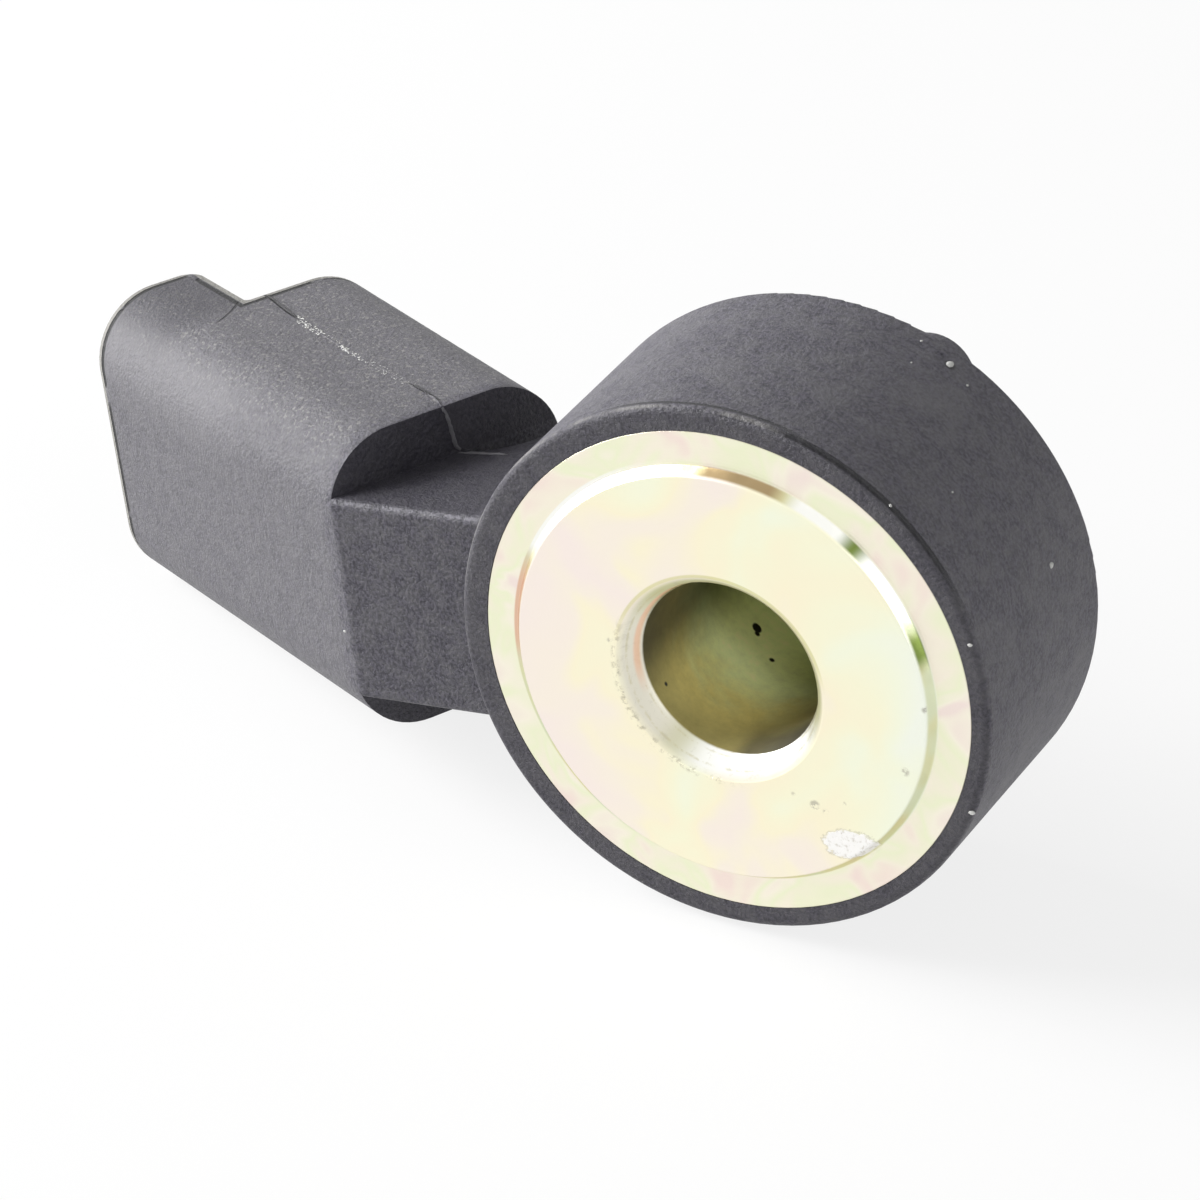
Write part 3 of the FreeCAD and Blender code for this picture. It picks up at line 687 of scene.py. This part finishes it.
# The blades and the contact rings they are welded to. Stamped brass, tinned where the plug grips, dull
# and lightly streaked along the stamping.
tin, tree, shader, place = start_finish("tinned_brass")
streak_place = add_node(tree, "ShaderNodeMapping", {"Vector": place, "Scale": (0.4, 1.0, 6.0)}).outputs[0]
streaks = grain(tree, streak_place, 1.4, 3.0, 0.6)
paint(tree, shader, streaks, (0.62, 0.59, 0.52, 1.0), (0.83, 0.81, 0.76, 1.0), 0.2, 0.24)
shader.inputs["Metallic"].default_value = 1.0
for name in ("lower_terminal", "upper_terminal", "resistor_leads"):
    wear(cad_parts[name], tin)
for name in ("lower_terminal", "upper_terminal"):
    soften_edges(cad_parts[name], 0.00007)

brass, tree, shader, place = start_finish("contact_brass")
rolled = grain(tree, place, 0.9, 3.0, 0.6)
paint(tree, shader, rolled, (0.62, 0.44, 0.20, 1.0), (0.78, 0.62, 0.34, 1.0), 0.2, 0.28)
shader.inputs["Metallic"].default_value = 1.0
for name in ("lower_contact_ring", "upper_contact_ring"):
    wear(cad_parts[name], brass)


# The terminal carrier, whose end is the socket's floor. A block of smoother black nylon with a slot for
# each blade, clipped in before the housing is moulded.
smooth_nylon, tree, shader, place = start_finish("smooth_black_nylon")
flow = grain(tree, place, 0.7, 3.0, 0.5, 0.8)
paint(tree, shader, flow, (0.045, 0.045, 0.048, 1.0), (0.075, 0.074, 0.078, 1.0), 0.2, 0.35)
bump = add_node(tree, "ShaderNodeBump", {"Height": flow, "Distance": 0.00003, "Strength": 0.4})
tree.links.new(bump.outputs["Normal"], shader.inputs["Normal"])
wear(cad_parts["terminal_carrier"], smooth_nylon)


# The sensing stack inside the ring. A ceramic disc between two contact rings and two insulating films
# is clamped on the sleeve by a steel mass, a disc spring and a slotted nut. The moulding hides it all.
ceramic, tree, shader, place = start_finish("fired_ceramic")
fired = grain(tree, place, 1.8, 4.0, 0.6)
paint(tree, shader, fired, (0.70, 0.67, 0.58, 1.0), (0.84, 0.81, 0.73, 1.0), 0.2, 0.55)
wear(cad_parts["piezo_ring"], ceramic)

film_sheet, tree, shader, place = start_finish("amber_film")
ripple = grain(tree, place, 0.6, 2.0, 0.5)
paint(tree, shader, ripple, (0.62, 0.42, 0.10, 1.0), (0.80, 0.60, 0.20, 1.0), 0.1, 0.25)
for name in ("lower_insulating_disc", "upper_insulating_disc"):
    wear(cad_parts[name], film_sheet)

bush_nylon, tree, shader, place = start_finish("natural_nylon")
haze = grain(tree, place, 1.0, 2.0, 0.5)
paint(tree, shader, haze, (0.72, 0.68, 0.56, 1.0), (0.84, 0.81, 0.70, 1.0), 0.15, 0.4)
wear(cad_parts["insulating_tube"], bush_nylon)

turned_steel, tree, shader, place = start_finish("turned_steel")
parts = add_node(tree, "ShaderNodeSeparateXYZ", {0: place})
x, z = parts.outputs[0], parts.outputs[2]
reach = calc(tree, "SQRT", plus(tree, times(tree, x, x), times(tree, z, z)))
cut_marks = calc(tree, "SINE", times(tree, reach, math.tau / 0.25))
stain = grain(tree, place, 0.8, 3.0, 0.6)
paint(tree, shader, stain, (0.42, 0.42, 0.43, 1.0), (0.60, 0.60, 0.61, 1.0), 0.2, 0.25)
shader.inputs["Metallic"].default_value = 1.0
bump = add_node(tree, "ShaderNodeBump", {"Height": cut_marks, "Distance": 0.00002, "Strength": 0.2})
tree.links.new(bump.outputs["Normal"], shader.inputs["Normal"])
for name in ("seismic_mass", "disc_spring", "ring_nut"):
    wear(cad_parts[name], turned_steel)


# The resistor across the blades. A small lacquered film resistor with tinned end caps, which bleeds the
# ceramic's charge, buried in the neck.
lacquer, tree, shader, place = start_finish("blue_lacquer")
coat = grain(tree, place, 1.2, 2.0, 0.5)
paint(tree, shader, coat, (0.20, 0.34, 0.46, 1.0), (0.28, 0.44, 0.56, 1.0), 0.15, 0.25)
wear(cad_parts["resistor_body"], lacquer)
wear(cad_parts["resistor_end_caps"], tin)


# The studio. A white sheet under the sensor, one large soft lamp high on the left, a weaker one low on
# the right, and pale surroundings.
floor_level = cad_low[2]
sheet_mesh = bmesh.new()
bmesh.ops.create_grid(sheet_mesh, x_segments=8, y_segments=8, size=1.5)
sheet_data = bpy.data.meshes.new("white_sheet")
sheet_mesh.to_mesh(sheet_data)
sheet_mesh.free()
sheet = bpy.data.objects.new("white_sheet", sheet_data)
scene.collection.objects.link(sheet)
sheet.location = (0.0, 0.0, floor_level)
white = bpy.data.materials.new("white_sheet")
white.use_nodes = True
tree = white.node_tree
tree.nodes.clear()
matt = add_node(tree, "ShaderNodeBsdfDiffuse", {"Color": (0.86, 0.86, 0.86, 1.0)})
glow = add_node(tree, "ShaderNodeEmission", {"Color": (1.0, 1.0, 1.0, 1.0), "Strength": 1.0})
rays = add_node(tree, "ShaderNodeLightPath")
seen = most(tree, rays.outputs["Is Camera Ray"], rays.outputs["Is Glossy Ray"])
seen = most(tree, seen, rays.outputs["Is Transmission Ray"])
share = times(tree, seen, 0.82)
mixed = add_node(tree, "ShaderNodeMixShader", {0: share, 1: matt.outputs[0], 2: glow.outputs[0]})
add_node(tree, "ShaderNodeOutputMaterial", {"Surface": mixed.outputs[0]})
sheet.data.materials.append(white)

world = bpy.data.worlds.new("pale_studio")
scene.world = world
world.use_nodes = True
tree = world.node_tree
tree.nodes.clear()
rays = add_node(tree, "ShaderNodeLightPath")
way = add_node(tree, "ShaderNodeTexCoord").outputs["Generated"]
toward = dot(tree, way, (0.55, 0.62, 0.56))
dim = limit(tree, toward, 1.0, 0.1)
level = plus(tree, times(tree, dim, 0.26), 0.11)
for kind in ("Is Camera Ray", "Is Glossy Ray", "Is Transmission Ray"):
    level = most(tree, level, rays.outputs[kind])
light = add_node(tree, "ShaderNodeBackground", {"Color": (1.0, 1.0, 1.0, 1.0), "Strength": level})
add_node(tree, "ShaderNodeOutputWorld", {"Surface": light.outputs[0]})


def hang_lamp(name, spot, target, size, power):
    lamp_data = bpy.data.lights.new(name, "AREA")
    lamp_data.shape = "RECTANGLE"
    lamp_data.size, lamp_data.size_y = size
    lamp_data.energy = power
    lamp = bpy.data.objects.new(name, lamp_data)
    scene.collection.objects.link(lamp)
    lamp.location = spot
    lamp.rotation_euler = (Vector(target) - Vector(spot)).to_track_quat("-Z", "Y").to_euler()


hang_lamp("left_softbox", (-0.43, -0.10, 0.21), (-0.01, 0.0, 0.0), (0.30, 0.30), 4.3)
hang_lamp("right_softbox", (0.45, -0.12, 0.20), (0.0, 0.0, 0.0), (0.30, 0.30), 0.5)
